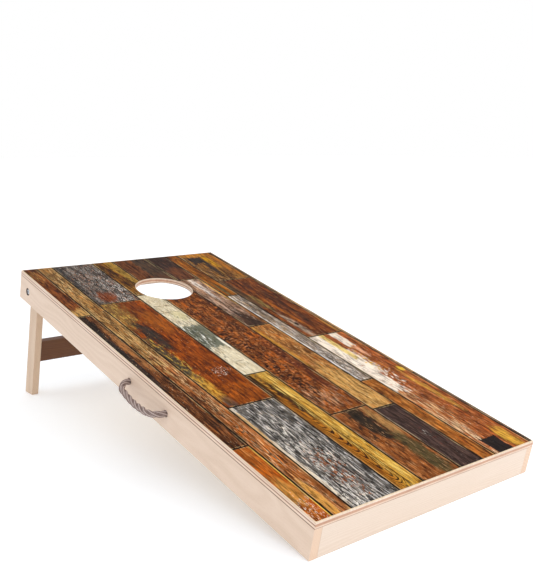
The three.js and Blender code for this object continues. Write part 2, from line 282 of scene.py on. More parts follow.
def overhand_knot(diameter):
    """The centreline of an overhand knot, pulled tight along the second axis."""
    t = np.linspace(-LOOSE_HALF_SPAN, LOOSE_HALF_SPAN, 3000)
    loose = np.stack([t**3 - 3 * t, 0.3 * (t**5 - 10 * t), 2.2 * (t**4 - 4 * t**2)], axis=1)
    points = evenly_spaced(loose, KNOT_POINTS)
    points *= KNOT_SEGMENT * (KNOT_POINTS - 1) / length_of(points)
    index = np.arange(KNOT_POINTS)
    apart = math.ceil(1.6 * diameter / KNOT_SEGMENT)
    pairs = np.nonzero(index[None] - index[:, None] > apart)
    third = KNOT_POINTS // 3
    for _ in range(KNOT_ROUNDS):
        core = points[third:-third].mean(axis=0)
        for end, way in ((0, -1), (-1, 1)):
            points[end] += (core - points[end]) * (CENTRING, 0, CENTRING)
            points[end][1] += way * PULL
        for _ in range(KNOT_SWEEPS):
            keep_segments(points)
            push_apart(points, *pairs, diameter)
            points[1:-1] += STIFFNESS * (0.5 * (points[:-2] + points[2:]) - points[1:-1])
    return points - points[third:-third].mean(axis=0)


def keep_segments(points):
    for first in (0, 1):
        i = np.arange(first, len(points) - 1, 2)
        step = points[i + 1] - points[i]
        size = np.linalg.norm(step, axis=1, keepdims=True)
        half = step * (0.5 * (size - KNOT_SEGMENT) / size)
        points[i] += half
        points[i + 1] -= half


def push_apart(points, a, b, diameter):
    step = points[b] - points[a]
    size = np.linalg.norm(step, axis=1)
    hit = size < diameter
    push = PUSH * step[hit] * ((diameter - size[hit]) / size[hit])[:, None]
    move = np.zeros_like(points)
    count = np.zeros(len(points))
    for at, way in ((a[hit], -1), (b[hit], 1)):
        np.add.at(move, at, way * push)
        np.add.at(count, at, 1)
    points += move / np.maximum(1, 0.5 * count)[:, None]


def runs_of(points):
    """How far along a line of points each one is."""
    steps = np.linalg.norm(np.diff(points, axis=0), axis=1)
    return np.concatenate([[0], np.cumsum(steps)])


def length_of(points):
    return runs_of(points)[-1]


def evenly_spaced(points, count):
    run = runs_of(points)
    places = np.linspace(0, run[-1], count)
    return np.stack([np.interp(places, run, points[:, k]) for k in range(3)], axis=1)


def smooth_line(points, steps=8):
    """A Catmull-Rom curve through the points."""
    points = np.asarray(points, float)
    padded = np.vstack([2 * points[0] - points[1], points, 2 * points[-1] - points[-2]])
    t = np.linspace(0, 1, steps, endpoint=False)[:, None]
    parts = []
    for p0, p1, p2, p3 in zip(padded, padded[1:], padded[2:], padded[3:]):
        parts.append(0.5 * (2 * p1 + (p2 - p0) * t + (2 * p0 - 5 * p1 + 4 * p2 - p3) * t**2
                            + (3 * p1 - p0 - 3 * p2 + p3) * t**3))
    return np.vstack(parts + [points[-1:]])


def handle_arc():
    """The free part of the rope, from the rear hole's mouth to the front hole's."""
    other_half = [(out, -along, drop) for out, along, drop in reversed(ROPE_HALF_ROUTE[:-1])]
    points = [(ROPE_AXIS_X - out, ROPE_MIDDLE_Y + along, ROPE_Z - drop)
              for out, along, drop in ROPE_HALF_ROUTE + other_half]
    ends = [(ROPE_MOUTH_X, ROPE_HOLES[name], ROPE_Z) for name in ("rear", "front")]
    return smooth_line([ends[0]] + points + [ends[1]])


def eased(share):
    share = min(max(share, 0), 1)
    return share * share * (3 - 2 * share)


def knotted_end(name, knot):
    """From the tail through the knot and the rail to the mouth of a hole."""
    enters = [np.interp(-KNOT_REACH, knot[:, 1], knot[:, k]) for k in (0, 2)]
    flip = 1 if name == "rear" else -1
    line = np.stack([KNOT_X + knot[:, 1], ROPE_HOLES[name] + flip * (knot[:, 0] - enters[0]),
                     ROPE_Z + knot[:, 2] - enters[1]], axis=1)[::-1]
    line = line[(line[:, 0] < KNOT_X + TAIL_LENGTH) & (line[:, 0] > ROPE_MOUTH_X + 0.002)]
    axis = np.array([ROPE_HOLES[name], ROPE_Z])
    knotted = KNOT_X - KNOT_REACH + 0.006
    for point in line:
        share = (knotted - point[0]) / (knotted - RAIL_INSIDE_X)
        point[1:] += eased(share) * (axis - point[1:])
    return np.vstack([line, [(ROPE_MOUTH_X, *axis)]])


def unit(vectors):
    return vectors / np.linalg.norm(vectors, axis=1, keepdims=True)


def rope_frames(line):
    """Evenly spaced points on a line, each with two directions square to the line."""
    centres = evenly_spaced(line, round(length_of(line) / ROPE_STEP) + 1)
    tangents = unit(np.gradient(centres, axis=0))
    normals = np.zeros_like(centres)
    normals[0] = np.cross(tangents[0], (0, 0, 1))
    for i in range(len(centres)):
        before = normals[max(i - 1, 0)]
        square = before - before.dot(tangents[i]) * tangents[i]
        normals[i] = square / np.linalg.norm(square)
    return centres, normals, np.cross(tangents, normals)


def strand_rings(frames, number):
    """The rings of points round one strand, and how far along the rope each ring is."""
    centres, normals, sides = frames
    run = runs_of(centres)
    turn = 2 * math.pi * (run / LAY_LENGTH + number / STRANDS)[:, None]
    outward = normals * np.cos(turn) + sides * np.sin(turn)
    middle = centres + STRAND_OFFSET * outward
    along = unit(np.gradient(middle, axis=0))
    first = unit(outward - (outward * along).sum(axis=1, keepdims=True) * along)
    second = np.cross(along, first)
    angles = np.pi + 2 * np.pi * np.arange(STRAND_SIDES) / STRAND_SIDES
    spokes = first[:, None] * np.cos(angles)[:, None] + second[:, None] * np.sin(angles)[:, None]
    return middle[:, None] + STRAND_RADIUS * spokes, run


def rope_piece(name, frames, start, end, material):
    """The part of the rope between two of its rings, as an object."""
    bm = bmesh.new()
    uv = bm.loops.layers.uv.new("UVMap")
    for number in range(STRANDS):
        rings, run = strand_rings(frames, number)
        loops = [[bm.verts.new(point) for point in ring] for ring in rings[start:end + 1]]
        for i, (a, b) in enumerate(zip(loops, loops[1:])):
            near, far = run[start + i], run[start + i + 1]
            for j in range(STRAND_SIDES):
                k = (j + 1) % STRAND_SIDES
                face = bm.faces.new((a[j], a[k], b[k], b[j]))
                u0, u1 = j / STRAND_SIDES, (j + 1) / STRAND_SIDES
                places = ((u0, near), (u1, near), (u1, far), (u0, far))
                for loop, place in zip(face.loops, places):
                    loop[uv].uv = place
        bm.faces.new(loops[0])
        bm.faces.new(loops[-1])
    return object_from(bm, name, [material], smooth=True)


def rope_material():
    """Yarns that run a little across each strand, with painted shade in their hollows and painted
    highlight on their tops.
    """
    yarns_round, yarns_per_metre, fluff_per_metre = 9.0, 95.0, 420.0
    look = Look("twisted_rope", roughness=0.9)
    u, v, _ = look.split(look.place("UV"))
    slant = look.times(v, yarns_per_metre, look.times(u, yarns_round))
    # Painted shade and highlight: a ripple that darkens the hollows between the yarns and
    # lightens their tops; the fluff noise is the rope's own uneven tone.
    painted_yarn_shade = look.times(look.math("SINE", look.times(slant, math.pi)), 0.5, 0.5)
    hairs = look.join(look.times(slant, 2.6), look.times(v, fluff_per_metre))
    fluff = look.noise(hairs, 4.0, 0.7)
    tone = look.plus(look.times(painted_yarn_shade, 0.35), look.times(fluff, 0.65))
    look.set("Base Color", look.ramp(tone, ROPE_TONES_AND_YARN_SHADE))
    look.bump(tone, 0.0004, 0.8)
    return look.material


def make_rope():
    knot = overhand_knot(ROPE_DIAMETER + KNOT_PLAY)
    rear, arc, front = knotted_end("rear", knot), handle_arc(), knotted_end("front", knot)
    line = np.vstack([rear[:-1], arc, front[::-1][1:]])
    frames = rope_frames(line)
    steps = len(frames[0]) - 1
    total = length_of(line)
    leaves = round(steps * length_of(rear) / total)
    returns = round(steps * (length_of(rear) + length_of(arc)) / total)
    material = rope_material()
    handle = rope_piece("rope_handle_strands", frames, leaves, returns, material)
    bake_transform(handle)
    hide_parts("rope_handle")
    for name, start, end in (("rear", 0, leaves), ("front", returns, steps)):
        piece = rope_piece(f"rope_knotted_end_{name}", frames, start, end, material)
        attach(piece, "frame")
        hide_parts(f"rope_knot_{name}")


make_rope()


# ---- the printed wrap: worn planks in many colours ----
# The print's places are in millimetres: the first across it from its left edge, the second down
# it from the board's high edge.

MM = 0.001
LEFT, RIGHT = -10, 620
HIGH, LOW = -10, 1230
RIM = 0.003
HOLE_RIM = 0.0015
WRAP_CORNER = 0.002
HOLE_SIDES = 128
SEED_STEP = 7.3
PLANKS = []


def blot(colour, at, size, strength=0.9, rag=0.5):
    """A round patch with a ragged edge."""
    return ("blot", colour, at, size, rag, strength)


def bar(colour, at, size, strength=0.9, rag=0.25):
    """A patch with straight sides and a ragged edge."""
    return ("bar", colour, at, size, rag, strength)


def marks(colour, grain, threshold, at=None, size=None, strength=0.85):
    """Small marks of a size (across, along), more of them as the threshold falls."""
    return ("marks", colour, grain, threshold, at, size, strength)


def rings(colour, at, spacing, curve, size, strength=0.85):
    """Nested arches of dark grain round a line down the plank."""
    return ("rings", colour, at, spacing, curve, size, strength)


def plank(across, along, base, grain, wear, *layers):
    """A plank: its left and right sides, its high and low ends, its colours from dark to light,
    its grain's size, how worn it is, and the layers of paint and marks that lie on it."""
    PLANKS.append((across, along, base.split(), grain, wear, layers))


# the first narrow row
plank((LEFT, 40), (HIGH, 333), "5c2c14 7d4628 9a6138", (3.5, 45), 0.75,
    marks("c69a5e", (2.5, 30), 0.56, (20, 40), (22, 60)),
    blot("b8925c", (22, 325), (30, 40)))
plank((LEFT, 40), (333, 977), "3a2417 6d4228 8f5c3a", (4, 55), 0.75,
    blot("221916", (9, 380), (13, 75)),
    blot("2c2624", (7, 560), (9, 170)),
    blot("a8744a", (29, 520), (8, 120), 0.7),
    marks("d8c2a4", (1.5, 9), 0.66),
    marks("2a1a12", (2, 25), 0.6, (24, 880), (20, 110)))
plank((LEFT, 40), (977, LOW), "9a4e24 b96a36 d08c54", (4, 60), 0.6,
    marks("7c3c1a", (2.5, 40), 0.57),
    blot("a04c22", (30, 1140), (9, 70), 0.8),
    blot("d0a05a", (18, 1130), (16, 40), 0.5),
    marks("f0e2cc", (2.2, 8), 0.57, (20, 1190), (24, 40), 0.8),
    bar("e0bc62", (37.5, 1100), (1.8, 140), 0.9, 0.1))

# the second narrow row
plank((40, 84), (HIGH, LOW), "80542c ab8350 d0b482", (2.2, 90), 0.75,
    marks("5b3218", (2, 34), 0.57, (66, 110), (16, 130)),
    marks("ead9a8", (2, 20), 0.58, (64, 130), (14, 60)),
    marks("a45f2c", (2.5, 40), 0.6),
    bar("8f5632", (62, 960), (40, 330), 0.92, 0.5),
    marks("bc845c", (3, 60), 0.55, (62, 960), (40, 330), 0.9),
    marks("5a2e18", (3, 50), 0.53, (52, 760), (14, 160), 0.9),
    marks("e2c294", (2.5, 50), 0.55, (74, 700), (10, 170), 0.9),
    blot("c8743e", (60, 990), (16, 120), 0.6, 0.3),
    rings("2a150b", (58, 900), 30, 0.5, (16, 150), 0.8),
    marks("1e0f08", (3, 90), 0.54, (60, 1000), (18, 230), 0.9),
    marks("e6c69c", (2, 50), 0.57, (70, 1000), (14, 200)),
    blot("d29c56", (52, 1170), (9, 60), 0.8, 0.4),
    marks("6a3416", (2, 22), 0.58, (78, 1160), (10, 80)))

# the wide row
plank((84, 203.5), (HIGH, 280), "35302d 5a5350 86807a", (5, 26), 0.75,
    marks("8d6a58", (4, 14), 0.55),
    marks("c9c4bd", (2, 9), 0.6),
    marks("dcd9d4", (3, 16), 0.56, (180, 200), (26, 90)),
    marks("22201f", (2.5, 20), 0.6),
    blot("2c2b2c", (90, 100), (9, 170), 0.7),
    blot("7d4126", (128, 238), (24, 32), 0.95, 0.6),
    marks("9d8f86", (2, 6), 0.58, (128, 200), (50, 40)))
plank((84, 203.5), (280, 845), "74391c 93491f ad5f34", (9, 34), 0.6,
    blot("84683c", (100, 340), (34, 85), 0.75, 0.6),
    marks("c8a85c", (4, 20), 0.54, (106, 350), (34, 90), 0.8),
    marks("463a28", (5, 20), 0.56, (100, 350), (34, 90), 0.8),
    blot("5a2f1a", (155, 330), (26, 70), 0.6, 0.6),
    blot("2c2824", (120, 485), (19, 78), 0.92, 0.55),
    blot("3c3c30", (95, 610), (14, 115), 0.88),
    marks("35352a", (5, 16), 0.54, (108, 660), (18, 60)),
    marks("c8a04c", (5, 24), 0.54, (106, 610), (18, 110), 0.8),
    blot("cfa04c", (97, 760), (16, 60), 0.85, 0.6),
    marks("565440", (4, 14), 0.53, (98, 700), (18, 60)),
    blot("46423c", (104, 826), (13, 26), 0.85),
    blot("a8602c", (150, 800), (50, 50), 0.3),
    marks("51260f", (4, 20), 0.57, (150, 770), (50, 90), 0.8),
    blot("a4612e", (170, 420), (26, 70), 0.5),
    marks("f4e8d8", (2.5, 5), 0.58, (176, 700), (22, 16), 0.95),
    marks("e0bc98", (3, 5), 0.68),
    marks("5e2c16", (3, 60), 0.6))
plank((84, 203.5), (845, LOW), "55514d 6c6864 85807b", (2, 90), 0.6,
    marks("c8c4c0", (4, 50), 0.53),
    marks("201e1e", (6, 40), 0.54, (150, 1020), (60, 190), 0.8),
    marks("252322", (4, 34), 0.54),
    marks("dcd6cc", (3.4, 24), 0.55, (140, 1050), (44, 120), 0.95),
    marks("ece6dc", (5, 20), 0.55, (120, 1185), (34, 40), 0.95),
    marks("232122", (3, 22), 0.56, (180, 1100), (30, 150), 0.9),
    bar("ddd0bc", (88, 1000), (5, 190), 0.85, 0.35),
    blot("b98f50", (89, 930), (4, 60), 0.8),
    marks("8f5434", (6, 12), 0.545, (146, 1115), (26, 80), 0.92))

# the yellow and cream row
plank((203.5, 266.5), (HIGH, 255), "4a2613 8a5a2a b3873f", (3, 60), 0.75,
    marks("2a160c", (3.5, 30), 0.52, (216, 120), (20, 160)),
    blot("ad8a44", (253, 70), (12, 140), 0.75),
    marks("38200f", (2, 22), 0.6),
    marks("d0b68c", (2.5, 6), 0.55, (215, 248), (20, 20)))
plank((203.5, 266.5), (255, 738), "cfc0a2 dacdb0 e8dec6", (9, 22), 0.18,
    marks("a08a60", (4, 6), 0.58, (235, 340), (34, 90), 0.8),
    bar("5a4632", (236, 336), (30, 1.1), 0.8, 0.6),
    bar("5a4632", (240, 377), (26, 1.1), 0.8, 0.6),
    blot("d3c896", (245, 405), (20, 30), 0.5),
    bar("64685a", (235, 528), (36, 64), 0.95, 0.22),
    marks("3c4238", (6, 18), 0.52, (235, 530), (34, 62)),
    marks("ecebe2", (3, 34), 0.57, (222, 500), (26, 90), 0.95),
    marks("4e4a38", (3, 22), 0.56, (246, 500), (22, 90), 0.8),
    blot("f2ecda", (262, 575), (5, 34)),
    bar("6a553c", (238, 673), (12, 1.2), 0.8, 0.5),
    marks("7c6244", (2, 7), 0.62),
    marks("8a7658", (2, 40), 0.64))
plank((203.5, 266.5), (738, LOW), "b8803a cc9a46 e2c068", (2.4, 120), 0.45,
    blot("a8642a", (215, 1010), (15, 240), 0.75, 0.3),
    rings("1c0c05", (224, 1000), 24, 0.30, (17, 225), 0.95),
    blot("1e0f07", (210, 785), (7, 75), 0.95, 0.25),
    blot("26120a", (229, 860), (6, 100), 0.92, 0.25),
    marks("6e3a16", (2, 70), 0.57),
    marks("f0d27c", (3, 80), 0.55, (252, 980), (16, 260), 0.9),
    bar("33190c", (238, 1010), (1.3, 215), 0.85, 0.3))

# the row with the bag hole
plank((266.5, 372.5), (HIGH, 240), "5a331f 74452a 8c5838", (5, 70), 0.75,
    bar("40332a", (350, 80), (31, 170), 0.92, 0.35),
    blot("4f3224", (344, 190), (30, 60), 0.7),
    marks("98704c", (1.6, 34), 0.64))
plank((266.5, 372.5), (240, 953), "643013 844a26 a5653a", (5, 36), 0.8,
    bar("3c1d0f", (366, 350), (8, 110), 0.8, 0.4),
    marks("a65a2c", (10, 40), 0.55),
    marks("2a150b", (5, 14), 0.56),
    marks("c07a48", (4, 16), 0.59),
    marks("1e0e07", (12, 7), 0.51, (298, 590), (20, 120), 0.95),
    marks("1e0e07", (12, 7), 0.51, (302, 790), (20, 110), 0.95),
    marks("2a160c", (6, 10), 0.58, (330, 450), (40, 150), 0.7),
    blot("54281a", (356, 760), (13, 150), 0.7),
    marks("d69a70", (9, 4), 0.6, (322, 640), (50, 260), 0.7),
    marks("d0a684", (2, 28), 0.55, (318, 890), (48, 50)))
plank((266.5, 372.5), (953, LOW), "703c1a 965a34 b47648", (4, 46), 0.6,
    blot("29221a", (322, 995), (22, 85), 0.97, 0.4),
    blot("b08a58", (356, 1020), (12, 60), 0.7),
    blot("474128", (345, 1150), (20, 100), 0.9, 0.45),
    marks("5c3220", (4, 12), 0.58, (356, 1000), (16, 50), 0.8),
    marks("c69a70", (2, 36), 0.6),
    bar("6f5747", (270, 1050), (3, 90), 0.8, 0.3),
    marks("241c15", (7, 30), 0.53, (322, 1010), (30, 120), 0.9))

# purple, pink and tan
plank((372.5, 440.5), (HIGH, 190), "33241f 43302a 553a30", (4, 60), 0.75,
    blot("6a3f28", (412, 150), (32, 56), 0.8),
    marks("a08470", (1.5, 20), 0.62, (378, 100), (10, 80)))
plank((372.5, 440.5), (190, 522), "8c6550 ac8a72 cdb4a2", (3, 40), 0.75,
    blot("e6dad0", (408, 250), (8, 90), 0.85, 0.6),
    marks("5f3c2a", (2.5, 26), 0.56),
    blot("d9a860", (436, 290), (4.5, 100), 0.85),
    blot("36231a", (402, 490), (28, 62), 0.95, 0.7),
    marks("dcd0c6", (2, 18), 0.6, (404, 430), (20, 30)),
    blot("8b5a34", (434, 470), (6, 60), 0.8))
plank((372.5, 440.5), (522, 973), "96582c b67c48 cf9a62", (5, 40), 0.75,
    blot("c99f62", (408, 880), (40, 110), 0.8),
    marks("7a4420", (3, 18), 0.58),
    marks("e2c088", (3, 24), 0.6),
    marks("5a3014", (2, 5), 0.66, (410, 860), (32, 110)),
    blot("bd8a3c", (380, 640), (6, 120), 0.6))
plank((372.5, 440.5), (973, LOW), "372825 4b3935 5d4943", (3, 50), 0.75,
    marks("e8e0d8", (1.8, 12), 0.57, (414, 1097), (6, 14), 0.9),
    marks("7c4030", (4, 10), 0.62, (424, 1110), (16, 50), 0.7),
    marks("8a7a74", (1.2, 40), 0.64),
    bar("8c7c76", (376, 1040), (1.6, 70), 0.7, 0.3))

# orange, white and orange
plank((440.5, 481.5), (HIGH, 330), "75411d 935828 b47234", (2.6, 80), 0.75,
    marks("5a2f14", (2, 50), 0.6),
    blot("5e5636", (457, 285), (5, 52), 0.85),
    marks("d09a52", (2, 40), 0.63))
plank((440.5, 481.5), (330, 863), "7c6c60 a89c90 d2cac2", (3, 24), 0.75,
    marks("c0a078", (5, 20), 0.55, (462, 470), (18, 140), 0.8),
    marks("3e332c", (2.5, 14), 0.59),
    blot("6c5c4c", (460, 480), (14, 30), 0.7, 0.7),
    bar("ece8e6", (444, 620), (3, 250), 0.8, 0.4),
    marks("f0ece8", (2.5, 10), 0.58, (462, 740), (18, 130), 0.9),
    marks("8a6a50", (2, 12), 0.62))
plank((440.5, 481.5), (863, LOW), "8f4e26 ad6b38 c8894c", (3, 80), 0.75,
    bar("8a4e26", (462, 1060), (2.5, 150), 0.7, 0.4),
    marks("6a3818", (2, 26), 0.62),
    marks("dca868", (1.8, 40), 0.62))

# burnt, brown and peeling
plank((481.5, 598), (HIGH, 225), "553820 84562e b08448", (2.6, 46), 0.75,
    marks("d0b288", (1.8, 30), 0.57, (490, 80), (10, 130)),
    marks("2e2016", (3, 40), 0.54, (520, 190), (40, 60)),
    blot("a86a30", (586, 90), (14, 120), 0.75),
    blot("bd8a30", (556, 70), (11, 56)),
    bar("2a2422", (518, 62), (22, 26), 0.95, 0.5),
    bar("2a2422", (531, 120), (9, 60), 0.85, 0.7),
    marks("b39a78", (2, 26), 0.57, (505, 190), (26, 60)),
    blot("c98a44", (520, 16), (60, 16), 0.6))
plank((481.5, 598), (225, 628), "582b16 744025 94552f", (5, 52), 0.75,
    bar("57402c", (493, 320), (11, 110), 0.85, 0.5),
    marks("2c1c12", (3, 30), 0.58, (496, 330), (18, 110)),
    blot("7a6a3e", (508, 400), (8, 60), 0.7, 0.7),
    blot("a08c7a", (507, 560), (10, 78), 0.9, 0.6),
    blot("2e221c", (511, 548), (5, 9), 0.95, 0.4),
    blot("3e2417", (560, 420), (9, 160), 0.6),
    blot("a4602e", (530, 480), (7, 120), 0.7),
    marks("c8956a", (1.6, 26), 0.64),
    blot("b0824a", (592, 590), (6, 50), 0.7))
plank((481.5, 598), (628, LOW), "8f4a2a ac623a c48256", (5, 40), 0.65,
    blot("d2a050", (572, 970), (8, 90), 0.75, 0.6),
    marks("e2c094", (3, 40), 0.53, (503, 1030), (30, 130), 0.9),
    bar("ecdfd0", (498, 770), (22, 165), 0.97, 0.3),
    blot("ecdfd0", (512, 780), (28, 80), 0.95),
    bar("e0c47c", (521, 695), (8, 76), 0.9, 0.2),
    bar("e4d6c6", (560, 664), (13, 44), 0.95, 0.3),
    blot("dda888", (562, 740), (7, 40), 0.7, 0.6),
    marks("dcae4c", (8, 12), 0.57, (548, 800), (16, 70), 0.95),
    blot("dab44c", (586, 852), (8, 12), 0.95),
    marks("f2e8da", (6, 14), 0.56, (542, 860), (18, 60), 0.95),
    marks("a9603c", (4, 14), 0.62, (505, 850), (26, 90), 0.8),
    marks("4e261a", (2, 50), 0.55, (555, 1010), (40, 110)),
    marks("c98e58", (4, 5), 0.58, (548, 1020), (14, 70), 0.7),
    marks("ecd8b8", (2, 60), 0.56, (500, 1150), (20, 80), 0.9),
    marks("5e3018", (3, 60), 0.54, (575, 1130), (22, 100), 0.8),
    blot("d0a24c", (568, 1185), (16, 44), 0.85),
    bar("191617", (519, 1192), (23, 28), 0.98, 0.2),
    marks("f4ecdf", (2, 9), 0.66, (560, 900), (40, 230), 0.8))

# the sliver at the right edge
plank((598, RIGHT), (HIGH, 340), "45291a 674633 8a6c56", (2, 24), 0.75,
    marks("bfa88e", (2, 10), 0.6))
plank((598, RIGHT), (340, 880), "96704c b28e6a d6b894", (2.4, 40), 0.75,
    marks("7c5434", (2, 24), 0.6),
    marks("e8dcc8", (2, 14), 0.62))
plank((598, RIGHT), (880, LOW), "46342e 705a4e a08878", (2, 30), 0.75,
    marks("3a2c30", (2, 18), 0.56),
    marks("c8b8a8", (2, 12), 0.62))


PRINT_SPECULAR = 0.03
PRINT_SATURATION = 1.05
PRINT_VALUE = 1.03
JOINT = ("0e0907", 3.4, 2.3)
LIGHT_LINE = ("e2c48e", 5.2, 4.3)
GRAIN_LINE_COLOUR = "1a0d07"
GLINT_COLOUR = "ffe2bc"
DARK_STREAKS = [(0.38, "24160f"), (0.45, "9c8b7c"), (0.50, "ffffff")]

# The scales of the print's noises, across and along it, per millimetre.
RAGGED = (0.10, 0.03)
DRIFT = (0.02, 0.006)
STREAKS = (0.17, 0.009)
FINE = (0.18, 0.024)
GRAIN_LINES = (0.075, 0.0045)
BREAKS_IN_LINES = (0.05, 0.012)
UNEVEN_RINGS = (0.012, 0.013)
FAINT_RINGS = (0.05, 0.02)


def patch_mask(look, place, kind, at, size, rag, ragged):
    """A soft mask: 1 inside a patch, 0 outside it."""
    reach = (1 / size[0], 1 / size[1], 0)
    offset = (-at[0] / size[0], -at[1] / size[1], 0)
    near = look.scaled(place, reach, offset)
    if kind == "blot":
        distance = look.vector("LENGTH", near)
    else:
        x, y, _ = look.split(look.vector("ABSOLUTE", near))
        distance = look.math("MAXIMUM", x, y)
    distance = look.times(ragged, rag, distance)
    soft = 0.3 if kind == "blot" else 0.06
    return look.step(distance, 1 + soft, 1 - soft)


def marks_mask(look, place, grain, threshold, at, size, ragged, seed):
    dots = look.grain(place, (1 / grain[0], 1 / grain[1]), seed, 4.0, 0.65)
    mask = look.step(dots, threshold - 0.01, threshold + 0.025)
    if at:
        mask = look.times(mask, patch_mask(look, place, "blot", at, size, 0.8, ragged))
    return mask


def rings_mask(look, place, at, spacing, curve, size, ragged, seed):
    across, along, _ = look.split(look.scaled(place, (1, 1, 0), (-at[0], 0, 0)))
    sweep = look.times(look.times(across, across), curve)
    level = look.times(ragged, 7.0, look.plus(along, sweep))
    level = look.times(look.grain(place, UNEVEN_RINGS, seed, 2.0), 4 * spacing, level)
    wave = look.math("SINE", look.times(level, 2 * math.pi / spacing))
    faint = look.step(look.grain(place, FAINT_RINGS, seed + 4), 0.34, 0.46)
    region = look.times(patch_mask(look, place, "bar", at, size, 0.4, ragged), faint)
    return look.times(look.step(wave, 0.15, 0.6), region)


def layer_mask(look, place, swayed, layer, ragged, seed):
    kind, _, *values, strength = layer
    if kind == "marks":
        mask = marks_mask(look, swayed, *values, ragged, seed)
    elif kind == "rings":
        mask = rings_mask(look, place, *values, ragged, seed)
    else:
        mask = patch_mask(look, place, kind, *values, ragged)
    return look.times(mask, strength)


def plank_material(number, plank):
    across, along, base, grain, wear, layers = plank
    look = Look(f"printed_plank_{number:02d}")
    look.set("Specular IOR Level", PRINT_SPECULAR)
    from_corner = (WIDTH / 2 / MM, LENGTH / MM, 0)
    place = look.scaled(look.board_space(), (1 / MM, -1 / MM, 0), from_corner)
    seed = SEED_STEP * number
    ragged = look.times(look.grain(place, RAGGED, seed, 6.0, 0.72), 4.5, -2.25)
    sway = look.join(look.times(look.grain(place, DRIFT, seed, 2.0), 14.0), 0.0)
    swayed = look.vector("ADD", place, sway)
    fibre = look.grain(swayed, (1 / grain[0], 1 / grain[1]), seed + 1, 4.0, 0.7)
    colour = look.ramp(fibre, evenly(base, 0.38, 0.62))
    streaks = look.grain(swayed, STREAKS, seed, 5.0, 0.8)
    colour = darkened(look, streaks, colour, wear)
    colour = look.tinted(grain_lines(look, swayed, seed), colour, GRAIN_LINE_COLOUR)
    for i, layer in enumerate(layers):
        mask = layer_mask(look, place, swayed, layer, ragged, seed + 2 + i)
        colour = look.tinted(mask, colour, layer[1])
    fine = look.grain(swayed, FINE, seed + 9, 5.0, 0.8)
    colour = darkened(look, fine, colour, wear)
    glint = look.times(look.step(fine, 0.54, 0.62), 0.55 * wear)
    colour = look.tinted(glint, colour, GLINT_COLOUR, "OVERLAY")
    nearest = edge_distance(look, place, across, along, fine)
    line_colour, *line_edge = LIGHT_LINE
    shine = look.times(look.step(nearest, *line_edge), look.step(streaks, 0.46, 0.6))
    colour = look.tinted(look.times(shine, 0.55), colour, line_colour)
    joint_colour, *joint_edge = JOINT
    colour = look.tinted(look.step(nearest, *joint_edge), colour, joint_colour)
    inputs = {"Color": colour, "Saturation": PRINT_SATURATION, "Value": PRINT_VALUE}
    look.set("Base Color", look.add("ShaderNodeHueSaturation", inputs).outputs[0])
    look.set("Roughness", look.step(fibre, 0.3, 0.7, (0.45, 0.6)))
    look.bump(fine, 0.00006, 0.5)
    return look.material


def grain_lines(look, place, seed):
    """Long thin wandering lines of dark grain: the contours of a stretched noise."""
    level = look.grain(place, GRAIN_LINES, seed + 3, 3.0, 0.6)
    count = look.math("FRACT", look.times(level, 11.0))
    line = look.step(look.math("ABSOLUTE", look.minus(count, 0.5)), 0.16, 0.04)
    broken = look.grain(place, BREAKS_IN_LINES, seed + 5, 2.0)
    return look.times(line, look.step(broken, 0.43, 0.56, (0.0, 0.9)))


def darkened(look, noise, colour, amount):
    """The colour with dark brown streaks where the noise is low."""
    return look.mix(amount, colour, look.ramp(noise, DARK_STREAKS), "MULTIPLY")


def edge_distance(look, place, across, along, fine):
    """How far in from its plank's nearest edge a point is, in mm, worn a little."""
    nearest = LENGTH / MM
    for value, (low, high) in zip(look.split(place), (across, along)):
        for side in (look.minus(value, low), look.minus(high, value)):
            nearest = look.math("MINIMUM", nearest, side)
    return look.times(fine, 1.4, nearest)


def plank_at(x, y):
    """The number of the plank that a point on the board lies in."""
    across, along = (x + WIDTH / 2) / MM, (LENGTH - y) / MM
    for number, (sides, ends, *_) in enumerate(PLANKS):
        if sides[0] <= across < sides[1] and ends[0] <= along < ends[1]:
            return number
    raise ValueError(f"no plank at {across:.1f}, {along:.1f}")


def arc(x, y, radius, start, sweep, steps):
    """Points on part of a circle, by degrees."""
    angles = [math.radians(start + sweep * i / steps) for i in range(steps + 1)]
    return [(x + radius * math.cos(a), y + radius * math.sin(a)) for a in angles]


def rounded_rectangle(half_x, y0, y1, radius):
    x, low, high = half_x - radius, y0 + radius, y1 - radius
    corners = ((x, low, -90), (x, high, 0), (-x, high, 90), (-x, low, 180))
    return [point for x, y, start in corners for point in arc(x, y, radius, start, 90, 5)]


def closed_loop(bm, points, z):
    verts = [bm.verts.new((x, y, z)) for x, y in points]
    return [bm.edges.new((a, b)) for a, b in zip(verts, verts[1:] + verts[:1])]


def cut_across(bm, point, normal):
    geometry = bm.verts[:] + bm.edges[:] + bm.faces[:]
    bmesh.ops.bisect_plane(bm, geom=geometry, plane_co=point, plane_no=normal)


def make_wrap():
    bm = bmesh.new()
    outline = rounded_rectangle(WIDTH / 2 - RIM, RIM, LENGTH - RIM, WRAP_CORNER)
    hole = arc(0, HOLE_Y, HOLE_RADIUS + HOLE_RIM, 0, 360, HOLE_SIDES)[:-1]
    edges = closed_loop(bm, outline, TOP) + closed_loop(bm, hole, TOP)
    bmesh.ops.triangle_fill(bm, edges=edges, use_beauty=True)
    for (left, _), (high, _), *_ in PLANKS:
        if left > 0:
            cut_across(bm, (left * MM - WIDTH / 2, 0, TOP), AXES["X"])
        if high > 0:
            cut_across(bm, (0, LENGTH - high * MM, TOP), AXES["Y"])
    for face in bm.faces:
        centre = face.calc_center_median()
        face.material_index = plank_at(centre.x, centre.y)
    sheet = bmesh.ops.extrude_face_region(bm, geom=bm.faces[:])
    lowered = [g for g in sheet["geom"] if isinstance(g, bmesh.types.BMVert)]
    bmesh.ops.translate(bm, verts=lowered, vec=(0, 0, -WRAP_THICKNESS))
    materials = [plank_material(i + 1, plank) for i, plank in enumerate(PLANKS)]
    wrap = object_from(bm, "printed_deck_wrap", materials)
    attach(wrap, "frame")
    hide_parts("deck_wrap")


make_wrap()
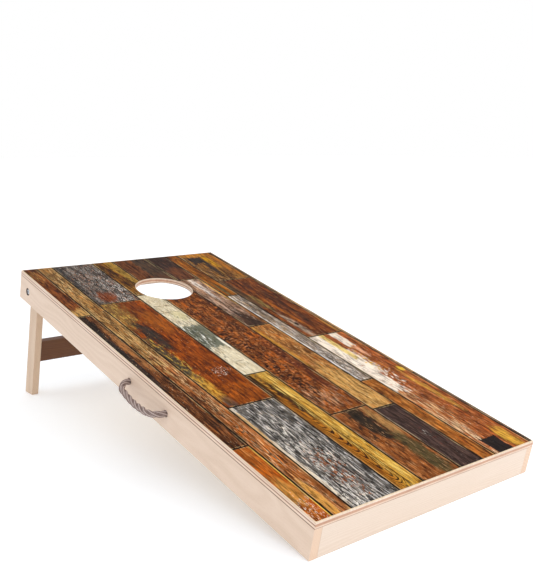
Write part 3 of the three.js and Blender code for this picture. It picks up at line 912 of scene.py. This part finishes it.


# ---- wood and metal ----

# The counterbore round each pivot bolt, and the dark brown painted shade that is laid over it.
RECESS_RADIUS = 0.010
RECESS_EDGE = 0.0001
RECESS_SHADE_COLOUR = "33241b"
RAIL_TONES = ("d3baa3", "dcc3ae", "e3ccb8")
END_TONES = ("d1bda9", "d8c5b4", "dfcebf")
LEG_TONES = ("c6a98f", "cfb49a", "d8bfa6")
# The crossbar's dark brown is painted shade, for the shadow it lies in under the board.
CROSSBAR_SHADE_TONES = ("4e2a0e", "5e3616", "70441c")
INNER_TONES = ("c4a27c", "d2b18a", "dfc19d")
DOWEL_TONES = ("cfae80", "dfc397", "ead3ac")
INNER_END = "c8a478"
RING_WIDTH = 0.0042
ROUNDING = 0.0009
SMALL_ROUNDING = 0.0004
FIBRES = (9.0, 420.0)
PORES = (140.0, 1500.0)
FACE_TONES = ("d9bf9c", "ead4b6", "f3e2ca")
LONG_TONES = ("d8c0aa", "e2cdb9", "eadacb")
# The first stop of each is painted shade: a dark line along the foot of the deck's edge, for the
# gap between the deck and the rails.
SIDE_PLIES_AND_GAP_SHADE = [(0.0, "5a3c30"), (0.10, "8e6a5a"), (0.22, "fffaf6"), (0.46, "fff6f0"),
              (0.54, "9c7566"), (0.62, "9c7566"), (0.70, "fff6f0"), (0.88, "ffffff"),
              (1.0, "dcc6ba")]
FRONT_PLIES_AND_GAP_SHADE = [(0.0, "6a4c40"), (0.07, "c8ac9c"), (0.14, "ffffff"), (0.34, "f8ece4"),
               (0.40, "d8b8a8"), (0.74, "dcbcae"), (0.80, "ffffff"), (1.0, "ffffff")]
SPECKLE = [(0.35, "d8c8bc"), (0.6, "ffffff")]
ZINC_TONES = ("8d9096", "b4b7bc", "d6d8db")
SCREW_TONES = ("8e7636", "a8904c", "bda460")


def stretched(look, lengthwise, side, up, scale):
    """A space for noise drawn out along the grain."""
    along, across = scale
    return look.join(look.times(lengthwise, along), look.times(side, across),
                     look.times(up, across))


def solid_wood(name, along, tones, end_tone, pith, paint_recess_shade=False):
    """Wood with growth rings round a pith line, so that faces and end grain agree."""
    look = Look(name)
    place = look.board_space()
    x, y, z = look.split(place)
    lengthwise, side, up = {"X": (x, y, z), "Y": (y, x, z), "Z": (z, x, y)}[along]
    drift = look.noise(look.scaled(look.join(lengthwise, side, up), (2.2, 9, 9)), 2.0)
    warp = look.times(drift, 0.05, -0.025)
    off = look.join(look.plus(look.minus(side, pith[0]), warp),
                    look.plus(look.minus(up, pith[1]), warp))
    wave = look.math("SINE", look.times(look.vector("LENGTH", off), 2 * math.pi / RING_WIDTH))
    growth = look.times(wave, 0.3, 0.5)
    fibre = look.noise(stretched(look, lengthwise, side, up, FIBRES), 4.0, 0.65)
    cloud = look.noise(look.scaled(place, (5, 5, 5)), 2.0)
    tone = look.plus(look.times(growth, 0.3), look.times(fibre, 0.5))
    tone = look.plus(tone, look.times(cloud, 0.2))
    colour = look.ramp(tone, evenly(tones, 0.25, 0.75))
    dots = look.noise(stretched(look, lengthwise, side, up, PORES), 1.0)
    pores = look.times(look.step(dots, 0.62, 0.72), 0.3)
    colour = look.tinted(pores, colour, tones[0], "MULTIPLY")
    on_end = look.step(look.facing(along), 0.75, 0.9)
    colour = look.tinted(look.times(on_end, 0.8), colour, end_tone, "MULTIPLY")
    # Painted shade: the rail's face inside the bolt's counterbore turns dark brown, standing in
    # for the shadow round the bolt head.
    if paint_recess_shade:
        off = look.join(0.0, look.minus(y, PIVOT.y), look.minus(z, PIVOT.z))
        outside, inside = RECESS_RADIUS + 4 * RECESS_EDGE, RECESS_RADIUS - RECESS_EDGE
        shade_disc = look.step(look.vector("LENGTH", off), outside, inside)
        colour = look.tinted(look.times(shade_disc, 0.9), colour, RECESS_SHADE_COLOUR)
    look.set("Base Color", colour)
    look.bump(tone, 0.00012, 0.35)
    return look.material


def plywood(name):
    """Birch plywood: clear faces, five plies that turn light and dark at the edges, and painted
    shade along the edges' foot.
    """
    look = Look(name)
    place = look.board_space()
    height = look.minus(look.split(place)[2], DECK_UNDER)
    fibre = look.noise(look.scaled(place, (420, 9, 60)), 4.0, 0.65)
    cross = look.noise(look.scaled(place, (9, 420, 60)), 4.0, 0.65)
    uneven = look.noise(look.scaled(place, (14, 14, 0)), 2.0)
    height = look.times(uneven, 0.0006, height)
    level = look.math("DIVIDE", height, DECK_TOP - DECK_UNDER)
    fronting = look.step(look.facing("Y"), 0.35, 0.9)
    # The ply ramps carry painted shade: a dark line at the foot of each edge.
    plies = look.mix(fronting, look.ramp(level, SIDE_PLIES_AND_GAP_SHADE), look.ramp(level, FRONT_PLIES_AND_GAP_SHADE))
    edge = look.mix(1.0, look.ramp(fibre, LONG_TONES), plies, "MULTIPLY")
    speckle = look.ramp(cross, SPECKLE)
    edge = look.mix(look.times(fronting, 0.6), edge, speckle, "MULTIPLY")
    on_face = look.step(look.facing("Z"), 0.75, 0.9)
    look.set("Base Color", look.mix(on_face, edge, look.ramp(fibre, FACE_TONES)))
    look.bump(fibre, 0.0001, 0.3)
    return look.material


def metal(name, tones, roughness):
    look = Look(name, roughness)
    look.set("Metallic", 1.0)
    cloud = look.noise(look.scaled(look.board_space(), (300, 300, 300)))
    look.set("Base Color", look.ramp(cloud, tones))
    look.set("Roughness", look.step(cloud, 0.3, 0.7, (roughness * 0.8, roughness * 1.3)))
    look.bump(cloud, 0.00002, 0.3)
    return look.material


def finish_cad_nodes():
    side = solid_wood("rail_wood", "Y", RAIL_TONES, "f8efe6", (0.24, -0.06), paint_recess_shade=True)
    end = solid_wood("end_rail_wood", "X", END_TONES, "f0e2d4", (-0.05, -0.07))
    brace = solid_wood("brace_wood", "X", INNER_TONES, INNER_END, (0.72, -0.05))
    block = solid_wood("block_wood", "Z", INNER_TONES, INNER_END, (0.2, -0.08))
    leg = solid_wood("leg_wood", "Z", LEG_TONES, "d0ac86", (0.2, 1.08))
    # Painted shade: the crossbar gets dark brown wood in place of the shadow it lies in under the
    # board.
    crossbar = solid_wood("crossbar_wood_painted_shade", "X", CROSSBAR_SHADE_TONES, "b09078", (1.1, -0.3))
    dowel = solid_wood("dowel_wood", "X", DOWEL_TONES, INNER_END, (0, 0))
    looks = {
        "side_rail": side, "front_rail": end, "rear_rail": end, "centre_brace": brace,
        "corner_block": block, "leg_stop": block, "leg_left": leg, "leg_right": leg,
        "leg_crossbar": crossbar, "dowel": dowel, "deck_panel": plywood("birch_plywood"),
        "deck_screw": metal("yellow_zinc", SCREW_TONES, 0.35),
    }
    for name, node in frame["nodes"].items():
        found = [material for part, material in looks.items() if part in name]
        if found:
            node.data.materials.clear()
            node.data.materials.append(found[0])
            small = "dowel" in name or "screw" in name
            soften_edges(node, SMALL_ROUNDING if small else ROUNDING)


def soften_edges(node, width):
    """Slightly rounded edges, as sanding leaves them."""
    weld = node.modifiers.new("weld", "WELD")
    weld.merge_threshold = 0.00001
    bevel = node.modifiers.new("bevel", "BEVEL")
    bevel.width = width
    bevel.segments = 3
    bevel.limit_method = "ANGLE"
    bevel.angle_limit = math.radians(50)


finish_cad_nodes()


# ---- pivot hardware: bolts, washers and lock nuts ----

BOLT_RADIUS = 0.004
BOLT_HOLE_RADIUS = 0.0043
HEAD_RADIUS = 0.007
HEAD_UNDER = 0.2991
HEAD_TOP = 0.3036
SOCKET_DEPTH = 0.0026
SOCKET_ACROSS = 0.005
WASHER_RADIUS = 0.010
SPACER = (0.2853, 0.2865)
NUT_WASHER = (0.2651, 0.2667)
NUT = (0.2570, 0.2648)
NUT_CORNER = 0.0075
BOLT_END = 0.2545
THREAD_PITCH = 0.00125
THREAD_FROM = 0.268
ROUND = 48
SHARP_ANGLE = math.radians(28)
FLAT_PER_CORNER = math.cos(math.pi / 6)


def hexagon(corner):
    """The radius of a hexagon at each angle."""
    flat = corner * FLAT_PER_CORNER
    return lambda angle: flat / math.cos((angle % (math.pi / 3)) - math.pi / 6)


def smaller(radius, limit):
    return lambda angle: min(radius(angle), limit)


def stacked(rings, side, hollow=False):
    """A mesh through rings round the pivot, each (how far out, radius or radius by angle)."""
    bm = bmesh.new()
    loops = []
    for out, radius in rings:
        loop = []
        for i in range(ROUND):
            angle = 2 * math.pi * i / ROUND
            reach = radius(angle) if callable(radius) else radius
            point = (side * out, PIVOT.y + reach * math.cos(angle),
                     PIVOT.z + reach * math.sin(angle))
            loop.append(bm.verts.new(point))
        loops.append(loop)
    pairs = list(zip(loops, loops[1:]))
    if hollow:
        pairs.append((loops[-1], loops[0]))
    for a, b in pairs:
        for i in range(ROUND):
            j = (i + 1) % ROUND
            bm.faces.new((a[i], a[j], b[j], b[i]))
    if not hollow:
        bm.faces.new(loops[0])
        bm.faces.new(loops[-1])
    return bm


def bolt_rings():
    """From the socket's floor, over the head and down the shank to its end."""
    corner = SOCKET_ACROSS / math.sqrt(3)
    socket = hexagon(corner)
    rings = [
        (HEAD_TOP - SOCKET_DEPTH, 0.0004), (HEAD_TOP - SOCKET_DEPTH + 0.0004, socket),
        (HEAD_TOP - 0.0002, socket), (HEAD_TOP, hexagon(corner + 0.0003)),
        (HEAD_TOP, HEAD_RADIUS - 0.0011), (HEAD_TOP - 0.0003, HEAD_RADIUS - 0.0004),
        (HEAD_TOP - 0.0009, HEAD_RADIUS - 0.00005), (HEAD_TOP - 0.0012, HEAD_RADIUS),
        (HEAD_UNDER + 0.0003, HEAD_RADIUS), (HEAD_UNDER, HEAD_RADIUS - 0.0003),
        (HEAD_UNDER, BOLT_RADIUS), (THREAD_FROM, BOLT_RADIUS),
    ]
    turns = int((THREAD_FROM - BOLT_END - 0.001) / THREAD_PITCH)
    for i in range(turns):
        crest = THREAD_FROM - THREAD_PITCH * (i + 1)
        for rise, depth in ((0.5, 0.0006), (0.1, 0.00005), (-0.1, 0.00005)):
            rings.append((crest + THREAD_PITCH * rise, BOLT_RADIUS - depth))
    end = [(BOLT_END + 0.0005, BOLT_RADIUS - 0.0008), (BOLT_END, BOLT_RADIUS - 0.0013)]
    return rings + end


def washer_rings(near, far):
    soft = 0.0002
    return [
        (near, BOLT_HOLE_RADIUS + soft), (near, WASHER_RADIUS - soft),
        (near + soft, WASHER_RADIUS), (far - soft, WASHER_RADIUS),
        (far, WASHER_RADIUS - soft), (far, BOLT_HOLE_RADIUS + soft),
        (far - soft, BOLT_HOLE_RADIUS), (near + soft, BOLT_HOLE_RADIUS),
    ]


def lock_nut_rings():
    """A hexagon nut with rounded-off corners, and the round collar that holds its insert."""
    near, far = NUT
    body = hexagon(NUT_CORNER)
    rounded = NUT_CORNER * FLAT_PER_CORNER
    return [
        (far, BOLT_HOLE_RADIUS), (far, rounded - 0.0002),
        (far - 0.0004, smaller(body, rounded + 0.0004)), (far - 0.0009, body),
        (near + 0.0028, body), (near + 0.0023, smaller(body, rounded + 0.0004)),
        (near + 0.0020, rounded - 0.0001), (near + 0.0019, rounded - 0.0008),
        (near + 0.0006, rounded - 0.0009), (near, rounded - 0.0016),
        (near, BOLT_HOLE_RADIUS + 0.0006), (near + 0.0008, BOLT_HOLE_RADIUS),
    ]


def make_hardware():
    zinc = metal("bright_zinc", ZINC_TONES, 0.22)
    for name, side in (("left", -1), ("right", 1)):
        parts = {
            f"pivot_bolt_{name}": stacked(bolt_rings(), side),
            f"spacer_washer_{name}": stacked(washer_rings(*SPACER), side, hollow=True),
            f"nut_washer_{name}": stacked(washer_rings(*NUT_WASHER), side, hollow=True),
            f"lock_nut_{name}": stacked(lock_nut_rings(), side, hollow=True),
        }
        for node, bm in parts.items():
            piece = object_from(bm, f"{node}_steel", [zinc], smooth=True)
            piece.data.set_sharp_from_angle(angle=SHARP_ANGLE)
            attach(piece, "frame")
            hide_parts(node)


make_hardware()


# ---- studio ----

WORLD_STRENGTH = 1.0
WHITE = (1, 1, 1, 1)
FLOOR_SIZE = 60
FLOOR_COLOUR = (0.87, 0.905, 0.95, 1)
FLOOR_GLOW = 0.25
FLOOR_Z = -0.0004
KEY_PLACE = (1.6, -3.2, 1.9)
KEY_AIM = (0, -0.3, 0.1)
KEY_SIZE = (2.2, 1.6)
KEY_POWER = 45


def make_key_light():
    data = bpy.data.lights.new("key", "AREA")
    data.shape = "RECTANGLE"
    data.size, data.size_y = KEY_SIZE
    data.energy = KEY_POWER
    light = bpy.data.objects.new("key", data)
    light.location = KEY_PLACE
    to_aim = Vector(KEY_AIM) - Vector(KEY_PLACE)
    light.rotation_euler = to_aim.to_track_quat("-Z", "Y").to_euler()
    bpy.context.scene.collection.objects.link(light)


def make_studio():
    scene = bpy.context.scene
    scene.view_settings.view_transform = "Standard"
    world = bpy.data.worlds.new("studio")
    world.use_nodes = True
    background = world.node_tree.nodes["Background"]
    background.inputs["Color"].default_value = WHITE
    background.inputs["Strength"].default_value = WORLD_STRENGTH
    scene.world = world
    bpy.ops.mesh.primitive_plane_add(size=FLOOR_SIZE, location=(0, 0, FLOOR_Z))
    floor = bpy.context.object
    floor.name = "floor"
    look = Look("pale_floor", roughness=0.9)
    look.set("Base Color", FLOOR_COLOUR)
    look.set("Emission Color", WHITE)
    look.set("Emission Strength", FLOOR_GLOW)
    floor.data.materials.append(look.material)
    make_key_light()


make_studio()
